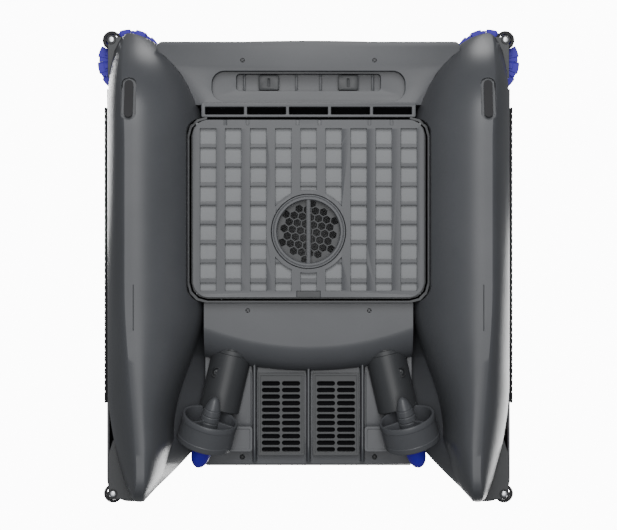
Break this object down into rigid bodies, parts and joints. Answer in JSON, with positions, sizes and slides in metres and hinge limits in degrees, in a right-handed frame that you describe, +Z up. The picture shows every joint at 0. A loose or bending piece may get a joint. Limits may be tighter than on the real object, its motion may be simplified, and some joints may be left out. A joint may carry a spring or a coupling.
{
  "type": "robotic pool surface skimmer",
  "caption": "Catamaran robot that skims leaves off a pool: hulls, side brushes, lift-out basket with lid and drop-down door, ducted thrusters and a solar deck.",
  "frame": {"origin": "middle of the footprint, on the ground that the keels stand on", "axes": "+Z up; the front with the inlet and side brushes faces -Y; +X is the skimmer's right-hand side seen from behind"},
  "size_m": [0.4284, 0.4795, 0.2004],
  "materials": {
    "charcoal": "satin moulded ABS, charcoal grey",
    "dark_plastic": "matt black-grey moulded plastic",
    "bumper_rubber": "matt soft rubber",
    "blue_plastic": "satin blue nylon",
    "filter_fabric": "fine light grey woven filter mesh",
    "steel": "stainless steel",
    "solar_glass": "dark monocrystalline cells under clear resin",
    "lens": "frosted light-pipe"
  },
  "bodies": {
    "chassis": {"basket_well": "dark_plastic", "battery_pack": "dark_plastic", "brush_motor_left": "steel", "brush_motor_right": "steel", "control_module": "dark_plastic", "corner_bracket_front_left": "charcoal", "corner_bracket_front_right": "charcoal", "corner_bracket_rear_left": "charcoal", "corner_bracket_rear_right": "charcoal", "front_box": "charcoal", "inlet_channel": "charcoal", "intake_grille_left": "charcoal", "intake_grille_right": "charcoal", "keel_pad_left": "charcoal", "keel_pad_right": "charcoal", "pontoon_deck_left": "charcoal", "pontoon_deck_right": "charcoal", "pontoon_shell_left": "charcoal", "pontoon_shell_right": "charcoal", "roller_pin_front_left": "dark_plastic", "roller_pin_front_right": "dark_plastic", "roller_pin_rear_left": "dark_plastic", "roller_pin_rear_right": "dark_plastic", "screw_bridge_left": "steel", "screw_bridge_right": "steel", "screw_front_left": "steel", "screw_front_right": "steel", "screw_tail_left": "steel", "screw_tail_right": "steel", "side_strip_left": "bumper_rubber", "side_strip_right": "bumper_rubber", "solar_panel": "solar_glass", "status_light": "lens", "tail_fairing": "charcoal", "thruster_duct_left": "charcoal", "thruster_duct_right": "charcoal", "thruster_fairing_left": "charcoal", "thruster_fairing_right": "charcoal", "thruster_motor_left": "steel", "thruster_motor_right": "steel", "top_cover": "charcoal"},
    "basket": {"basket_tub": "charcoal"},
    "inlet_flap": {"inlet_flap": "dark_plastic"},
    "basket_door": {"basket_door": "charcoal", "filter_mesh": "filter_fabric", "drain_grille": "dark_plastic", "door_latch": "dark_plastic"},
    "drain_ring": {"drain_ring": "charcoal"},
    "basket_lid": {"basket_lid": "charcoal"},
    "carry_handle": {"carry_handle": "dark_plastic"},
    "power_button": {"power_button": "blue_plastic"},
    "charge_port_cover": {"charge_port_cover": "dark_plastic"},
    "propeller_left": {"propeller_left": "blue_plastic"},
    "side_brush_left": {"side_brush_left": "blue_plastic"},
    "wall_roller_front_left": {"wall_roller_front_left": "dark_plastic"},
    "wall_roller_rear_left": {"wall_roller_rear_left": "dark_plastic"},
    "propeller_right": {"propeller_right": "blue_plastic"},
    "side_brush_right": {"side_brush_right": "blue_plastic"},
    "wall_roller_front_right": {"wall_roller_front_right": "dark_plastic"},
    "wall_roller_rear_right": {"wall_roller_rear_right": "dark_plastic"}
  },
  "joints": [
    {"name": "propeller_spin_left", "type": "hinge", "parent": "chassis", "child": "propeller_left", "pos_m": [-0.1001, 0.163, 0.058], "axis": [-0.2526, 0.9169, 0.309], "continuous": true},
    {"name": "brush_spin_left", "type": "hinge", "parent": "chassis", "child": "side_brush_left", "pos_m": [-0.1807, -0.206, 0.116], "axis": [0, 0, 1], "continuous": true},
    {"name": "roller_spin_front_left", "type": "hinge", "parent": "chassis", "child": "wall_roller_front_left", "pos_m": [-0.1981, -0.2264, 0.0974], "axis": [0, 0, 1], "continuous": true},
    {"name": "roller_spin_rear_left", "type": "hinge", "parent": "chassis", "child": "wall_roller_rear_left", "pos_m": [-0.1967, 0.23, 0.0974], "axis": [0, 0, 1], "continuous": true},
    {"name": "propeller_spin_right", "type": "hinge", "parent": "chassis", "child": "propeller_right", "pos_m": [0.1001, 0.163, 0.058], "axis": [0.2526, 0.9169, 0.309], "continuous": true},
    {"name": "brush_spin_right", "type": "hinge", "parent": "chassis", "child": "side_brush_right", "pos_m": [0.1807, -0.206, 0.116], "axis": [0, 0, 1], "continuous": true},
    {"name": "roller_spin_front_right", "type": "hinge", "parent": "chassis", "child": "wall_roller_front_right", "pos_m": [0.1981, -0.2264, 0.0974], "axis": [0, 0, 1], "continuous": true},
    {"name": "roller_spin_rear_right", "type": "hinge", "parent": "chassis", "child": "wall_roller_rear_right", "pos_m": [0.1967, 0.23, 0.0974], "axis": [0, 0, 1], "continuous": true},
    {"name": "basket_lift", "type": "slide", "parent": "chassis", "child": "basket", "axis": [0, 0, 1], "range_m": [0, 0.18]},
    {"name": "lid_open", "type": "hinge", "parent": "basket", "child": "basket_lid", "pos_m": [0, 0.0368, 0.1894], "axis": [-1, 0, 0], "range_deg": [0, 110]},
    {"name": "handle_raise", "type": "hinge", "parent": "basket_lid", "child": "carry_handle", "pos_m": [0, -0.0405, 0.197], "axis": [-1, 0, 0], "range_deg": [0, 90]},
    {"name": "flap_swing", "type": "hinge", "parent": "basket", "child": "inlet_flap", "pos_m": [0, -0.1392, 0.128], "axis": [1, 0, 0], "range_deg": [0, 65]},
    {"name": "door_open", "type": "hinge", "parent": "basket", "child": "basket_door", "pos_m": [0, -0.143, 0.0546], "axis": [-1, 0, 0], "range_deg": [0, 75]},
    {"name": "drain_twist", "type": "hinge", "parent": "basket_door", "child": "drain_ring", "pos_m": [0, -0.033, 0.054], "axis": [0, 0, 1], "range_deg": [0, 40]},
    {"name": "power_press", "type": "slide", "parent": "chassis", "child": "power_button", "axis": [0, 0, -1], "range_m": [0, 0.0015], "stiffness_N_per_m": 400},
    {"name": "port_cover_open", "type": "hinge", "parent": "chassis", "child": "charge_port_cover", "pos_m": [-0.075, 0.2036, 0.1205], "axis": [-1, 0, 0], "range_deg": [0, 110]}
  ]
}
